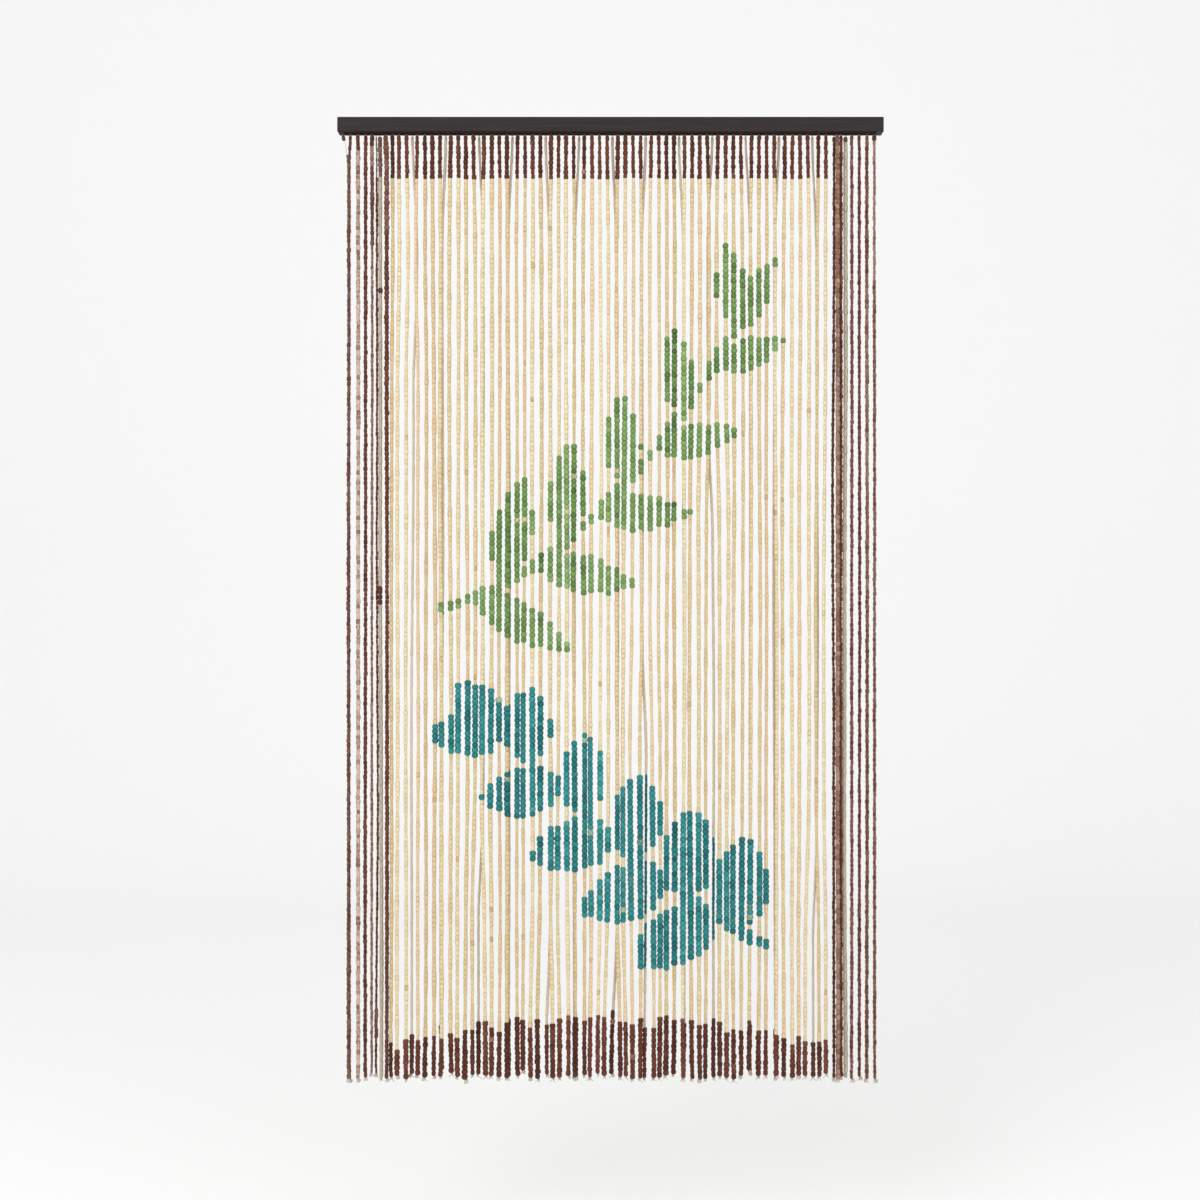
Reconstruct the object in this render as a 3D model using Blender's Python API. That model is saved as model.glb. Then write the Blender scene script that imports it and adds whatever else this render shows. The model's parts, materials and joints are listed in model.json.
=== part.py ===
# A bead curtain on its rail: a dark bar with 82 strands that hang from strips let into its underside.
# Units are metres, +Z is up and the front faces -Y.
# The origin is the centre of the bar's flat back face, which lies against the wall.

import math
import random
from collections import namedtuple

import bmesh
import bpy

# The rail, and the groove that takes the strips
rail_length = 1.130
rail_height = 0.031
rail_depth = 0.030
rail_edge_radius = 0.0022
rail_edge_steps = 3
groove_height = 0.0060
groove_end_wall = 0.0050
fit_gap = 0.0003

# The two rows of strands behind the rail's front face, and the strip of each
front_row_y = -0.0135
back_row_y = -0.0042
front_strip_depth = 0.0090
back_strip_depth = 0.0046

# Along the rail the strands hang in groups of four, with one more at the far left
group_count = 16
group_size = 4
group_pitch = 0.0694
strand_pitch = 0.0157
groups_shift = 0.0041
outermost_step = 0.0145
edge_strands = 6

# Front strands whose eyes sit to one side of the even spacing, by their numbers
eye_shifts = {4: -0.0024, 5: 0.0035, 6: 0.0020, 59: 0.0080}

# The back row has a strand in each space between two groups, and to the left of its two outer ones another
beside_first = 0.0044
beside_last = 0.0239

# The thin strand of a space soon hangs behind a neighbour, and the groups open out into that space.
# Further down some thin strands come out again, and the groups beside them make room.
hidden_by = 0.13
closed_half_space = group_pitch / 8
open_half_space = group_pitch / 5
latest_out = 1.30
comes_out_over = 0.15
strand_clearance = 0.0010

# Each strand wanders a little: how far, and the waves over its drop with each one's share of that
sway = 0.0036
edge_sway = 0.0010
sway_waves = (
    {"waves": 0.45, "share": 0.62},
    {"waves": 1.10, "share": 0.30},
    {"waves": 2.30, "share": 0.14},
)
waves_vary = (0.80, 1.25)
sway_begins_by = 0.05
sway_full_at = 0.50
sway_at_top = 0.30

# Some outer strands lean as soon as they leave the rail, and two of those hang in front of their neighbour
leaned_at = 0.035
leans = {
    0: {"sideways": 0.0120, "forward": 0.0076},
    1: {"sideways": -0.0022, "forward": 0.0},
    5: {"sideways": 0.0025, "forward": 0.0},
    59: {"sideways": 0.0, "forward": 0.0076},
    65: {"sideways": 0.0020, "forward": 0.0},
}

# Heights along a strand, from the rail's underside down
neck_length = 0.0035
shoulder_length = 0.0020
drop = 1.9585
drop_spread = 0.0050
shorter_by = 0.0100
shorter_every = 9
upper_sections = 7
band_height_middle = 0.118
band_height_side = 0.065
band_half_width = 6.5 * group_pitch
band_spread = 0.012
taper_length = 0.0030
tail_length = 0.0080

# Half the thickness of a strand: of its thread, its beads and the larger beads of the bottom band
thread_radius = 0.0012
field_radius = 0.0037
field_low_radius = 0.0044
edge_radius = 0.0033
back_radius = 0.0026
back_low_radius = 0.0037
outer_back_radius = 0.0036
beside_radius = 0.0024

seed = 41

Strand = namedtuple("Strand", "number place radius low_radius")


def clear_scene():
    for thing in list(bpy.data.objects):
        bpy.data.objects.remove(thing, do_unlink=True)


def painted(name, colour, roughness):
    material = bpy.data.materials.new(name)
    material.use_nodes = True
    shader = material.node_tree.nodes["Principled BSDF"]
    shader.inputs["Base Color"].default_value = (*colour, 1.0)
    shader.inputs["Roughness"].default_value = roughness
    shader.inputs["Metallic"].default_value = 0.0
    return material


def new_object(name, shape, material=None):
    mesh = bpy.data.meshes.new(name)
    shape.to_mesh(mesh)
    shape.free()
    if material:
        mesh.materials.append(material)
    thing = bpy.data.objects.new(name, mesh)
    bpy.context.scene.collection.objects.link(thing)
    return thing


def box_shape(low, high):
    box = bmesh.new()
    bmesh.ops.create_cube(box, size=1.0)
    for vertex in box.verts:
        vertex.co = [low[axis] if vertex.co[axis] < 0 else high[axis] for axis in range(3)]
    return box


# Where the strands leave the rail


def group_centre(group):
    return groups_shift + (group - (group_count - 1) / 2) * group_pitch


def front_row():
    """The outermost strand, and then the groups of four from left to right."""
    places = []
    for group in range(group_count):
        for place in range(group_size):
            places.append(group_centre(group) + (place - (group_size - 1) / 2) * strand_pitch)
    places.insert(0, places[0] - outermost_step)
    row = []
    for number, place in enumerate(places):
        place += eye_shifts.get(number, 0.0)
        if edge_strands <= number < len(places) - edge_strands:
            row.append(Strand(number, place, field_radius, field_low_radius))
        else:
            row.append(Strand(number, place, edge_radius, edge_radius))
    return row


def back_row():
    """A strand for each space between two groups, thicker in both outer ones, with one more beside it."""
    first_number = 1 + group_count * group_size
    row = []
    for gap in range(group_count - 1):
        place = group_centre(gap + 0.5)
        if gap in (0, group_count - 2):
            row.append(Strand(first_number + gap, place, outer_back_radius, outer_back_radius))
        else:
            row.append(Strand(first_number + gap, place, back_radius, back_low_radius))
    for place in (row[0].place - beside_first, row[-1].place - beside_last):
        row.append(Strand(first_number + len(row), place, beside_radius, beside_radius))
    return sorted(row, key=lambda strand: strand.place)


# How the strands hang


def is_at_back(strand):
    return strand.number > group_count * group_size


def eased(amount):
    amount = min(max(amount, 0.0), 1.0)
    return amount * amount * (3 - 2 * amount)


def is_inner(space):
    return 0 < space < group_count - 2


def in_the_open(space, way_down):
    """0 while the thin strand of a space hangs behind a neighbour, 1 where it has come out."""
    out_at = latest_out * math.sqrt(random.Random(seed * 5 + space).random())
    return eased((way_down - out_at) / comes_out_over)


def half_space(space, way_down):
    """Half the width between two groups. Spaces are numbered from the left."""
    at_rail = (group_pitch - (group_size - 1) * strand_pitch) / 2
    if not is_inner(space):
        return at_rail
    below = closed_half_space + (open_half_space - closed_half_space) * in_the_open(space, way_down)
    return at_rail + (below - at_rail) * eased(way_down / hidden_by)


def plumb_place(strand, way_down):
    """Where a strand hangs before it sways."""
    if is_at_back(strand):
        space = strand.number - 1 - group_count * group_size
        if not is_inner(space):
            return strand.place
        aside = half_space(space, way_down) * (1 - in_the_open(space, way_down)) * eased(way_down / hidden_by)
        return strand.place + (aside if space % 2 else -aside)
    group, number_in_group = divmod(strand.number - 1, group_size)
    share = number_in_group / (group_size - 1)
    from_left = half_space(group - 1, way_down) - half_space(group - 1, 0)
    from_right = half_space(group, way_down) - half_space(group, 0)
    return strand.place + from_left * (1 - share) - from_right * share


def sway_of(strand, way_down):
    """A slow wander to either side, which grows on the way down and differs from strand to strand."""
    draw = random.Random(seed + strand.number)
    offset = 0.0
    for wave in sway_waves:
        start = draw.uniform(0, 2 * math.pi)
        waves = wave["waves"] * draw.uniform(*waves_vary)
        offset += wave["share"] * math.sin(start + 2 * math.pi * waves * way_down)
    reach = edge_sway if strand.radius == edge_radius else sway
    growth = sway_at_top + (1 - sway_at_top) * eased(way_down / sway_full_at)
    return reach * offset * growth * eased(way_down / sway_begins_by)


def lean_of(strand, way_down, way):
    """How far a leaning strand has come, sideways or forward."""
    lean = leans.get(strand.number)
    return lean[way] * eased(way_down / leaned_at) if lean else 0.0


def hung_places(row, way_down):
    """Where each strand of a row hangs at one level, by its number. Strands in one plane are kept apart."""
    places = {}
    for strand in row:
        places[strand.number] = plumb_place(strand, way_down) + sway_of(strand, way_down)
        places[strand.number] += lean_of(strand, way_down, "sideways")
    in_plane = [s for s in row if not leans.get(s.number, {}).get("forward")]
    for _ in range(20):
        for left, right in zip(in_plane, in_plane[1:], strict=False):
            least = left.low_radius + right.low_radius + strand_clearance
            push = (least - (places[right.number] - places[left.number])) / 2
            if push > 0:
                places[left.number] -= push
                places[right.number] += push
    return places


def strand_length(strand):
    """How far below the rail the last bead ends. A few strands are shorter."""
    draw = random.Random(seed * 7 + strand.number)
    length = drop + draw.uniform(-drop_spread, drop_spread)
    return length - shorter_by if strand.number % shorter_every == 4 else length


def band_height(strand):
    """The bottom band rises towards the middle of the curtain, and is uneven from strand to strand."""
    draw = random.Random(seed * 11 + strand.number)
    across = min(abs(strand.place) / band_half_width, 1.0)
    height = band_height_side + (band_height_middle - band_height_side) * (1 - across**2)
    return height + draw.uniform(-band_spread, band_spread)


def strand_rings(strand):
    """The strand's rings on the way down: how far below the rail each one is, and its radius."""
    beads_from = neck_length + shoulder_length
    length = strand_length(strand)
    rings = [(neck_length, thread_radius), (beads_from, strand.radius)]
    last_section = length - shoulder_length
    if strand.low_radius > strand.radius:
        last_section = length - band_height(strand)
    if strand.number in leans:
        rings.append((leaned_at * drop, strand.radius))
    for section in range(1, upper_sections + 1):
        fall = beads_from + (last_section - beads_from) * section / upper_sections
        rings.append((fall, strand.radius))
    if strand.low_radius > strand.radius:
        rings.append((last_section + shoulder_length, strand.low_radius))
        rings.append((length - shoulder_length, strand.low_radius))
    rings.append((length + taper_length, thread_radius))
    rings.append((length + taper_length + tail_length, thread_radius))
    return rings


# The solids


def ring_corners(x, y, z, radius):
    """The left, back, right and front corners of a strand's section, which shows an edge to the front."""
    return [(x - radius, y, z), (x, y + radius, z), (x + radius, y, z), (x, y - radius, z)]


def draw_down(shape, root, rings):
    """Draws a face of the strip's underside down through the rings of a strand."""
    first = min(range(4), key=lambda corner: root.verts[corner].co.x + root.verts[corner].co.y)
    face = root
    for number, ring in enumerate(rings):
        if number:
            face = bmesh.ops.extrude_discrete_faces(shape, faces=[face])["faces"][0]
        for corner in range(4):
            face.verts[(first + corner) % 4].co = ring[corner]


def strip_shape(row, row_y, depth, low_end, high_end):
    """A strip with a crosswise cut between each two strands."""
    underside = -rail_height / 2
    strip = box_shape(
        (low_end, row_y - depth / 2, underside),
        (high_end, row_y + depth / 2, underside + groove_height - fit_gap),
    )
    for left, right in zip(row, row[1:], strict=False):
        bmesh.ops.bisect_plane(
            strip,
            geom=strip.verts[:] + strip.edges[:] + strip.faces[:],
            plane_co=((left.place + right.place) / 2, row_y, underside),
            plane_no=(1, 0, 0),
        )
    return strip


def add_strands(name, row, numbers, row_y, depth, ends, material):
    """The strands of a row with these numbers, fused by their roots into one strip."""
    chosen = [strand for strand in row if strand.number in numbers]
    shape = strip_shape(chosen, row_y, depth, *ends)
    shape.normal_update()
    roots = [face for face in shape.faces if face.normal.z < -0.9]
    roots.sort(key=lambda face: face.calc_center_median().x)
    bmesh.ops.inset_individual(shape, faces=roots, thickness=thread_radius)
    underside = -rail_height / 2
    for strand, root in zip(chosen, roots, strict=True):
        rings = [ring_corners(strand.place, row_y, underside, thread_radius)]
        for fall, radius in strand_rings(strand):
            x = hung_places(row, fall / drop)[strand.number]
            y = row_y - lean_of(strand, fall / drop, "forward")
            rings.append(ring_corners(x, y, underside - fall, radius))
        draw_down(shape, root, rings)
    bmesh.ops.recalc_face_normals(shape, faces=shape.faces[:])
    return new_object(name, shape, material)


def add_rail(material):
    """The bar, rounded along its edges, with the groove cut into its underside."""
    half = rail_length / 2
    bar = box_shape((-half, -rail_depth, -rail_height / 2), (half, 0, rail_height / 2))
    bmesh.ops.bevel(
        bar,
        geom=bar.edges[:],
        offset=rail_edge_radius,
        offset_type="OFFSET",
        segments=rail_edge_steps,
        profile=0.5,
        affect="EDGES",
        material=-1,
    )
    rail = new_object("rail", bar, material)
    rail.data.shade_smooth()
    rail.data.set_sharp_from_angle(angle=math.radians(40))
    groove_half = half - groove_end_wall
    groove_front = front_row_y - front_strip_depth / 2 - fit_gap
    groove_back = back_row_y + back_strip_depth / 2 + fit_gap
    groove_top = groove_height - rail_height / 2
    cutter = new_object("groove_cutter", box_shape(
        (-groove_half, groove_front, -rail_height),
        (groove_half, groove_back, groove_top),
    ))
    cutter.hide_render = True
    cutter.display_type = "WIRE"
    cut = rail.modifiers.new("groove", "BOOLEAN")
    cut.operation = "DIFFERENCE"
    cut.solver = "EXACT"
    cut.object = cutter


def main():
    clear_scene()
    add_rail(painted("rail paint", (0.045, 0.040, 0.038), 0.42))

    brown = painted("brown beads", (0.105, 0.030, 0.018), 0.48)
    cream = painted("cream beads", (0.720, 0.540, 0.310), 0.50)
    beige = painted("beige beads", (0.520, 0.430, 0.300), 0.55)

    front = front_row()
    back = back_row()
    strip_start = -rail_length / 2 + groove_end_wall + fit_gap
    left_seam = (front[edge_strands - 1].place + front[edge_strands].place) / 2
    right_seam = (front[-edge_strands - 1].place + front[-edge_strands].place) / 2
    half_gap = fit_gap / 2
    left_numbers = range(edge_strands)
    field_numbers = range(edge_strands, len(front) - edge_strands)
    right_numbers = range(len(front) - edge_strands, len(front))

    add_strands(
        "edge_strands_left", front, left_numbers, front_row_y, front_strip_depth,
        (strip_start, left_seam - half_gap), brown,
    )
    add_strands(
        "field_strands", front, field_numbers, front_row_y, front_strip_depth,
        (left_seam + half_gap, right_seam - half_gap), cream,
    )
    add_strands(
        "edge_strands_right", front, right_numbers, front_row_y, front_strip_depth,
        (right_seam + half_gap, -strip_start), brown,
    )
    add_strands(
        "back_strands", back, [strand.number for strand in back], back_row_y, back_strip_depth,
        (strip_start, -strip_start), beige,
    )


main()
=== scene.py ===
import json
import math
import random
from collections import namedtuple

import bmesh
import bpy
import numpy as np
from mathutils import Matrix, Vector

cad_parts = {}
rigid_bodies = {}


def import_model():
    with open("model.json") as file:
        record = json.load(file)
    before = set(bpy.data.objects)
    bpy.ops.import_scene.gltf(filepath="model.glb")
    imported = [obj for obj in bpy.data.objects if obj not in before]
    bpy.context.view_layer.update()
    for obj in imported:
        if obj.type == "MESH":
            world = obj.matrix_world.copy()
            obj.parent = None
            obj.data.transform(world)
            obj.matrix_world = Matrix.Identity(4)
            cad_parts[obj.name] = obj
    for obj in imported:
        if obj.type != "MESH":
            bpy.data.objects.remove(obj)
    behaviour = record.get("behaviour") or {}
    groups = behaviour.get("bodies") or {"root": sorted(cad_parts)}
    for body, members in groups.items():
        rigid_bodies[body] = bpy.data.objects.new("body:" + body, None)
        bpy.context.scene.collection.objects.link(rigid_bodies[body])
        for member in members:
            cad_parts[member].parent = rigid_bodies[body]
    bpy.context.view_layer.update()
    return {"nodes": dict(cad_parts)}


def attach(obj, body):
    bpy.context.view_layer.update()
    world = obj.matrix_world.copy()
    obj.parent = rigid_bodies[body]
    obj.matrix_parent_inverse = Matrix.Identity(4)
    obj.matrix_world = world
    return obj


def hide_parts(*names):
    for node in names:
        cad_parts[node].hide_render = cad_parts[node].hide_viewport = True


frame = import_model()
scene = bpy.context.scene

# Camera, set square to the curtain and half way down it

camera = {
    "place": (-0.0217, -3.18, -0.9834),
    "lens": 45.74,          # takes in 2.48 m at the rail's front
    "sensor": 36.0,
}

eye = bpy.data.cameras.new("camera")
eye.lens = camera["lens"]
eye.sensor_width = camera["sensor"]
eye.clip_start = 0.05
eye.clip_end = 60.0
eyeObject = bpy.data.objects.new("camera", eye)
eyeObject.location = camera["place"]
eyeObject.rotation_euler = (math.radians(90), 0, 0)
scene.collection.objects.link(eyeObject)
scene.camera = eyeObject
scene.view_settings.view_transform = "Standard"
print("camera set")

# Studio: a pale sweep far behind, soft light all round and a broad lamp in front

studio = {
    "floorHeight": -2.36,
    "wallPlace": 5.2,
    "bendRadius": 1.6,
    "bendSteps": 16,
    "wallRise": 6.0,
    "halfWidth": 9.0,
    "frontEdge": -9.0,
    "paper": (0.92, 0.92, 0.92),
    "skyStrength": 0.90,
    "lamps": (
        # place, aim, size, watts
        ((-2.6, -4.2, 1.6), (0.0, 0.0, -0.9), 2.6, 95.0),
        ((3.0, -4.0, -0.4), (0.0, 0.0, -1.0), 2.4, 45.0),
    ),
}


def addStage():
    sweep = bmesh.new()
    # The sweep's outline from the front of the floor to the top of the wall, drawn sideways once
    bend = studio["bendRadius"]
    start = sweep.verts.new((-studio["halfWidth"], studio["frontEdge"], studio["floorHeight"]))
    foot = sweep.verts.new((-studio["halfWidth"], studio["wallPlace"] - bend, studio["floorHeight"]))
    sweep.edges.new((start, foot))
    bmesh.ops.spin(
        sweep, geom=[foot], cent=(0, studio["wallPlace"] - bend, studio["floorHeight"] + bend),
        axis=(1, 0, 0), angle=math.radians(90), steps=studio["bendSteps"], use_merge=False,
    )
    top = max(sweep.verts, key=lambda vertex: (vertex.co.z, vertex.co.y))
    bmesh.ops.extrude_vert_indiv(sweep, verts=[top])
    sweep.verts.ensure_lookup_table()
    sweep.verts[-1].co.z += studio["wallRise"]
    raised = bmesh.ops.extrude_edge_only(sweep, edges=sweep.edges[:])["geom"]
    across = [part for part in raised if isinstance(part, bmesh.types.BMVert)]
    bmesh.ops.translate(sweep, verts=across, vec=(2 * studio["halfWidth"], 0, 0))
    bmesh.ops.remove_doubles(sweep, verts=sweep.verts, dist=0.0005)
    bmesh.ops.recalc_face_normals(sweep, faces=sweep.faces)
    stage = finishMesh("stage", sweep, smooth=True)
    paper = bpy.data.materials.new("paper")
    paper.use_nodes = True
    shader = paper.node_tree.nodes["Principled BSDF"]
    shader.inputs["Base Color"].default_value = (*studio["paper"], 1)
    shader.inputs["Roughness"].default_value = 0.95
    shader.inputs["Specular IOR Level"].default_value = 0.0
    stage.data.materials.append(paper)


def addLamps():
    sky = bpy.data.worlds.new("sky")
    sky.use_nodes = True
    glow = sky.node_tree.nodes["Background"]
    glow.inputs["Color"].default_value = (1, 1, 1, 1)
    glow.inputs["Strength"].default_value = studio["skyStrength"]
    scene.world = sky
    for number, (place, aim, size, watts) in enumerate(studio["lamps"]):
        lamp = bpy.data.lights.new(f"lamp_{number}", "AREA")
        lamp.shape = "SQUARE"
        lamp.size = size
        lamp.energy = watts
        lampObject = bpy.data.objects.new(f"lamp_{number}", lamp)
        lampObject.location = place
        lampObject.rotation_euler = (Vector(aim) - Vector(place)).to_track_quat("-Z", "Y").to_euler()
        lampObject.visible_camera = False
        scene.collection.objects.link(lampObject)


def finishMesh(name, shape, smooth=False):
    mesh = bpy.data.meshes.new(name)
    shape.to_mesh(mesh)
    shape.free()
    if smooth:
        mesh.shade_smooth()
    thing = bpy.data.objects.new(name, mesh)
    scene.collection.objects.link(thing)
    return thing


addStage()
addLamps()
print("studio set")

# How the strands hang. These are the solids' own measures.

hanging = {
    "railLength": 1.130,
    "underside": -0.0155,
    "frontRow": -0.0135,
    "backRow": -0.0042,
    "groupCount": 16,
    "groupSize": 4,
    "groupPitch": 0.0694,
    "strandPitch": 0.0157,
    "groupsShift": 0.0041,
    "outermostStep": 0.0145,
    "eyeShifts": {4: -0.0024, 5: 0.0035, 6: 0.0020, 59: 0.0080},
    "besideFirst": 0.0044,      # how far the two outermost back strands hang from their neighbours
    "besideLast": 0.0239,
    "edgeStrands": 6,
    # Where the thin strand of a space hides and comes out again, in shares of the drop
    "hiddenBy": 0.13,
    "latestOut": 1.30,
    "comesOutOver": 0.15,
    "closedHalfSpace": 0.008675,
    "openHalfSpace": 0.01388,
    "clearance": 0.0010,
    "pushes": 20,               # rounds in which strands that touch are moved apart
    "sway": 0.0036,
    "edgeSway": 0.0010,
    "swayWaves": ((0.45, 0.62), (1.10, 0.30), (2.30, 0.14)),   # waves over the drop, share
    "wavesVary": (0.80, 1.25),
    "swayBeginsBy": 0.05,
    "swayFullAt": 0.50,
    "swayAtTop": 0.30,
    "leanedAt": 0.035,
    "leans": {                  # sideways, forward
        0: (0.0120, 0.0076),
        1: (-0.0022, 0.0),
        5: (0.0025, 0.0),
        59: (0.0, 0.0076),
        65: (0.0020, 0.0),
    },
    "drop": 1.9585,
    "dropSpread": 0.0050,
    "halfWay": 1.0,
    "shorterBy": 0.0100,
    "shorterEvery": 9,
    "shorterFrom": 4,
    "bandMiddle": 0.118,
    "bandSide": 0.065,
    "bandReach": 6.5,           # groups from the middle to where the lower band is lowest
    "bandSpread": 0.012,
    "fieldRadius": 0.0037,
    "fieldLowRadius": 0.0044,
    "edgeRadius": 0.0033,
    "backRadius": 0.0026,
    "backLowRadius": 0.0037,
    "outerBackRadius": 0.0036,
    "besideRadius": 0.0024,
    "seed": 41,
}

# Each strand has its own draws for each of these, so that none changes another
purposes = {"sway": 1, "hiding": 5, "length": 7, "band": 11, "beads": 13, "tone": 17,
            "tails": 19, "knot": 23, "eye": 29, "bead": 1009}

Strand = namedtuple("Strand", "number place radius lowRadius")
lastFront = hanging["groupCount"] * hanging["groupSize"]


def groupCentre(group):
    return hanging["groupsShift"] + (group - (hanging["groupCount"] - 1) / 2) * hanging["groupPitch"]


def frontRow():
    size = hanging["groupSize"]
    places = []
    for group in range(hanging["groupCount"]):
        for place in range(size):
            places.append(groupCentre(group) + (place - (size - 1) / 2) * hanging["strandPitch"])
    places.insert(0, places[0] - hanging["outermostStep"])
    edge = hanging["edgeStrands"]
    row = []
    for number, place in enumerate(places):
        place += hanging["eyeShifts"].get(number, 0.0)
        if edge <= number < len(places) - edge:
            row.append(Strand(number, place, hanging["fieldRadius"], hanging["fieldLowRadius"]))
        else:
            row.append(Strand(number, place, hanging["edgeRadius"], hanging["edgeRadius"]))
    return row


def backRow():
    first = 1 + lastFront
    outer = hanging["outerBackRadius"]
    row = []
    for gap in range(hanging["groupCount"] - 1):
        place = groupCentre(gap + 0.5)
        if gap in (0, hanging["groupCount"] - 2):
            row.append(Strand(first + gap, place, outer, outer))
        else:
            row.append(Strand(first + gap, place, hanging["backRadius"], hanging["backLowRadius"]))
    slim = hanging["besideRadius"]
    for place in (row[0].place - hanging["besideFirst"], row[-1].place - hanging["besideLast"]):
        row.append(Strand(first + len(row), place, slim, slim))
    return sorted(row, key=lambda strand: strand.place)


def drawsFor(purpose, number):
    return random.Random(hanging["seed"] * purposes[purpose] + number)


def isAtBack(strand):
    return strand.number > lastFront


def isForward(strand):
    return hanging["leans"].get(strand.number, (0, 0))[1] > 0


def isBeside(strand):
    return strand.radius == hanging["besideRadius"]


def isOuterBack(strand):
    return strand.radius == hanging["outerBackRadius"]


def isAtEdge(strand):
    return strand.radius == hanging["edgeRadius"] or isBeside(strand)


def eased(amount):
    amount = min(max(amount, 0.0), 1.0)
    return amount * amount * (3 - 2 * amount)


def isInner(space):
    return 0 < space < hanging["groupCount"] - 2


def inTheOpen(space, wayDown):
    # 0 while the thin strand of a space hangs behind a neighbour, 1 where it has come out
    outAt = hanging["latestOut"] * math.sqrt(drawsFor("hiding", space).random())
    return eased((wayDown - outAt) / hanging["comesOutOver"])


def halfSpace(space, wayDown):
    atRail = (hanging["groupPitch"] - (hanging["groupSize"] - 1) * hanging["strandPitch"]) / 2
    if not isInner(space):
        return atRail
    widened = (hanging["openHalfSpace"] - hanging["closedHalfSpace"]) * inTheOpen(space, wayDown)
    below = hanging["closedHalfSpace"] + widened
    return atRail + (below - atRail) * eased(wayDown / hanging["hiddenBy"])


def plumbPlace(strand, wayDown):
    if isAtBack(strand):
        space = strand.number - 1 - lastFront
        if not isInner(space):
            return strand.place
        aside = halfSpace(space, wayDown) * (1 - inTheOpen(space, wayDown))
        aside *= eased(wayDown / hanging["hiddenBy"])
        return strand.place + (aside if space % 2 else -aside)
    group, numberInGroup = divmod(strand.number - 1, hanging["groupSize"])
    share = numberInGroup / (hanging["groupSize"] - 1)
    fromLeft = halfSpace(group - 1, wayDown) - halfSpace(group - 1, 0)
    fromRight = halfSpace(group, wayDown) - halfSpace(group, 0)
    return strand.place + fromLeft * (1 - share) - fromRight * share


def swayOf(strand, wayDown):
    draw = drawsFor("sway", strand.number)
    offset = 0.0
    for waves, share in hanging["swayWaves"]:
        start = draw.uniform(0, 2 * math.pi)
        waves *= draw.uniform(*hanging["wavesVary"])
        offset += share * math.sin(start + 2 * math.pi * waves * wayDown)
    reach = hanging["edgeSway"] if strand.radius == hanging["edgeRadius"] else hanging["sway"]
    growth = hanging["swayAtTop"] + (1 - hanging["swayAtTop"]) * eased(wayDown / hanging["swayFullAt"])
    return reach * offset * growth * eased(wayDown / hanging["swayBeginsBy"])


def leanOf(strand, wayDown, way):
    lean = hanging["leans"].get(strand.number)
    return lean[way] * eased(wayDown / hanging["leanedAt"]) if lean else 0.0


def hungPlaces(row, wayDown):
    places = {}
    for strand in row:
        place = plumbPlace(strand, wayDown) + swayOf(strand, wayDown) + leanOf(strand, wayDown, 0)
        places[strand.number] = place
    inPlane = [strand for strand in row if not isForward(strand)]
    for _ in range(hanging["pushes"]):
        for left, right in zip(inPlane, inPlane[1:], strict=False):
            least = left.lowRadius + right.lowRadius + hanging["clearance"]
            push = (least - (places[right.number] - places[left.number])) / 2
            if push > 0:
                places[left.number] -= push
                places[right.number] += push
    return places


def strandLength(strand):
    draw = drawsFor("length", strand.number)
    length = hanging["drop"] + draw.uniform(-hanging["dropSpread"], hanging["dropSpread"])
    isShorter = strand.number % hanging["shorterEvery"] == hanging["shorterFrom"]
    return length - hanging["shorterBy"] if isShorter else length


def bandHeight(strand):
    draw = drawsFor("band", strand.number)
    across = min(abs(strand.place) / (hanging["bandReach"] * hanging["groupPitch"]), 1.0)
    height = hanging["bandSide"] + (hanging["bandMiddle"] - hanging["bandSide"]) * (1 - across**2)
    return height + draw.uniform(-hanging["bandSpread"], hanging["bandSpread"])


# The path of each strand, read at even levels once and looked up for each bead

levels = np.linspace(0, 2.0, 201)       # metres below the rail, a centimetre apart
paths = {}
rows = {"front": frontRow(), "back": backRow()}


def walkDown():
    for rowName, row in rows.items():
        y = hanging["frontRow"] if rowName == "front" else hanging["backRow"]
        placesByLevel = [hungPlaces(row, fall / hanging["drop"]) for fall in levels]
        for strand in row:
            across = np.array([places[strand.number] for places in placesByLevel])
            forward = np.array([leanOf(strand, fall / hanging["drop"], 1) for fall in levels])
            paths[strand.number] = (across, y - forward)


def spotOn(strand, fall):
    across, depth = paths[strand.number]
    return np.interp(fall, levels, across), np.interp(fall, levels, depth), hanging["underside"] - fall


walkDown()
print("strands placed")

# The chart: which stain each bead gets

chart = {
    "topBandEnds": -0.1089,
    "leavesTo": 0.94,           # where the last pair of leaves grows, along the stem
    "stagger": 0.045,           # how far the two leaves of a pair stand apart along it
    "nearby": 0.02,             # the stem's heading is read between points this far to each side
    "tipLeafFrom": 0.97,
    "tipLeafLonger": 1.05,
    "belly": 0.8,               # under 1, a leaf is broadest nearer its foot
    "stemSteps": 40,
    "sprays": (
        {
            "stain": "green",
            "stem": ((-0.345, -1.000), (-0.010, -0.900), (0.270, -0.400)),
            "stemHalf": 0.0130,
            "leaves": 5,
            "leavesFrom": 0.14,
            "length": (0.232, 0.170),       # at the foot, at the tip
            "halfWidth": (0.042, 0.034),
            "angle": (54, 38),
            "roundness": 0.85,
        },
        {
            "stain": "teal",
            "stem": ((0.320, -1.700), (0.060, -1.560), (-0.235, -1.250)),
            "stemHalf": 0.0130,
            "leaves": 5,
            "leavesFrom": 0.16,
            "length": (0.190, 0.146),
            "halfWidth": (0.060, 0.050),
            "angle": (64, 46),
            "roundness": 0.55,
        },
    ),
}


def onStem(spray, share):
    start, bow, end = (Vector(point) for point in spray["stem"])
    return start * (1 - share) ** 2 + bow * 2 * share * (1 - share) + end * share**2


def between(ends, way):
    return ends[0] + (ends[1] - ends[0]) * way


def headingAt(spray, share):
    ahead = onStem(spray, share + chart["nearby"]) - onStem(spray, share - chart["nearby"])
    return math.atan2(ahead.y, ahead.x)


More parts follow.
